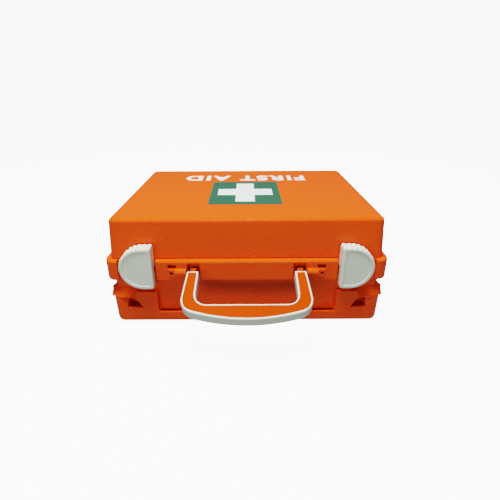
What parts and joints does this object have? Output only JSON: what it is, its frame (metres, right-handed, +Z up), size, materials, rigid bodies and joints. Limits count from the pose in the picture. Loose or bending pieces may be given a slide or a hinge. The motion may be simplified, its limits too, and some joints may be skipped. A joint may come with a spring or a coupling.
{
  "type": "first aid kit",
  "caption": "Rigid plastic first aid case with a hinged lid, quarter-turn latches, a folding carry handle and a divided base that holds wrapped dressings, bandages and scissors.",
  "frame": {"origin": "middle of the flat underside of the base", "axes": "+X along the case from left to right as seen from the handle side, +Y from the handle side to the hinges, +Z up towards the lid"},
  "size_m": [0.31, 0.276, 0.126],
  "materials": {
    "orange_shell": "glossy moulded orange",
    "white_plastic": "smooth white moulding",
    "orange_grip": "satin orange grip core",
    "black_rubber": "soft black seal",
    "steel_fittings": "plain steel pins, washers and screws",
    "green_label": "green film label",
    "white_label": "white film cross",
    "clear_plate": "clear sheet",
    "knob_plastic": "white turn fastener",
    "grey_divider": "light grey divider sheet",
    "booklet_paper": "uncoated booklet paper",
    "paper_wrap": "peel-open paper wrap",
    "gauze": "woven cotton gauze",
    "gold_foil": "metallised rescue film",
    "printed_carton": "folding carton",
    "plaster_tape": "rolled fixing plaster",
    "glove_bag": "thin plastic bag of gloves",
    "cold_pack_film": "blue film pouch",
    "scissors_steel": "polished steel"
  },
  "bodies": {
    "base": {"base_shell": "orange_shell", "rim_gasket": "black_rubber", "hinge_pin_left": "steel_fittings", "hinge_pin_right": "steel_fittings", "latch_spring_washer_left": "steel_fittings", "latch_spring_washer_right": "steel_fittings", "handle_bearing_clip_left": "orange_shell", "handle_bearing_clip_right": "orange_shell", "handle_clip_screw_left": "steel_fittings", "handle_clip_screw_right": "steel_fittings", "divider_long": "grey_divider", "divider_front_left": "grey_divider", "divider_front_right": "grey_divider", "divider_back_left": "grey_divider", "divider_back_right": "grey_divider", "bandage_roll_1": "gauze", "bandage_roll_2": "gauze", "bandage_roll_3": "gauze", "bandage_roll_4": "gauze", "dressing_pack_1": "paper_wrap", "dressing_pack_2": "paper_wrap", "dressing_pack_3": "paper_wrap", "dressing_pack_4": "paper_wrap", "tape_spool_1": "plaster_tape", "tape_spool_2": "plaster_tape", "plaster_carton": "printed_carton", "triangular_bandage_pack": "paper_wrap", "rescue_blanket_pack": "gold_foil", "gloves_bag": "glove_bag", "cold_pack": "cold_pack_film", "compress_pack": "paper_wrap", "scissors_blade_lower": "scissors_steel"},
    "lid": {"lid_shell": "orange_shell", "label_panel": "green_label", "label_cross": "white_label", "lid_cover_plate": "clear_plate", "first_aid_booklet": "booklet_paper", "burn_dressing_pack": "paper_wrap", "gauze_pack": "paper_wrap"},
    "handle": {"handle_frame": "white_plastic", "handle_core": "orange_grip", "handle_pin_left": "steel_fittings", "handle_pin_right": "steel_fittings"},
    "left_latch": {"latch_left": "white_plastic", "latch_pin_left": "steel_fittings", "latch_retaining_clip_left": "steel_fittings"},
    "right_latch": {"latch_right": "white_plastic", "latch_pin_right": "steel_fittings", "latch_retaining_clip_right": "steel_fittings"},
    "plate_knob": {"cover_plate_knob": "knob_plastic"},
    "scissors_upper": {"scissors_blade_upper": "scissors_steel", "scissors_rivet": "scissors_steel"}
  },
  "joints": [
    {"name": "lid_hinge", "type": "hinge", "parent": "base", "child": "lid", "pos_m": [0, 0.105, 0.08], "axis": [-1, 0, 0], "range_deg": [0, 90]},
    {"name": "handle_pivot", "type": "hinge", "parent": "base", "child": "handle", "pos_m": [0, -0.1055, 0.067], "axis": [-1, 0, 0], "range_deg": [-64, 72]},
    {"name": "left_latch_turn", "type": "hinge", "parent": "base", "child": "left_latch", "pos_m": [-0.1108, -0.105, 0.0744], "axis": [0, -1, 0], "range_deg": [0, 90]},
    {"name": "right_latch_turn", "type": "hinge", "parent": "base", "child": "right_latch", "pos_m": [0.1108, -0.105, 0.0744], "axis": [0, 1, 0], "range_deg": [0, 90]},
    {"name": "plate_knob_turn", "type": "hinge", "parent": "lid", "child": "plate_knob", "pos_m": [0, -0.078, 0.088], "axis": [0, 0, 1], "range_deg": [0, 90]},
    {"name": "scissors_pivot", "type": "hinge", "parent": "base", "child": "scissors_upper", "pos_m": [0.096, -0.042, 0.046], "axis": [0, 0, 1], "range_deg": [-8, 25]}
  ]
}
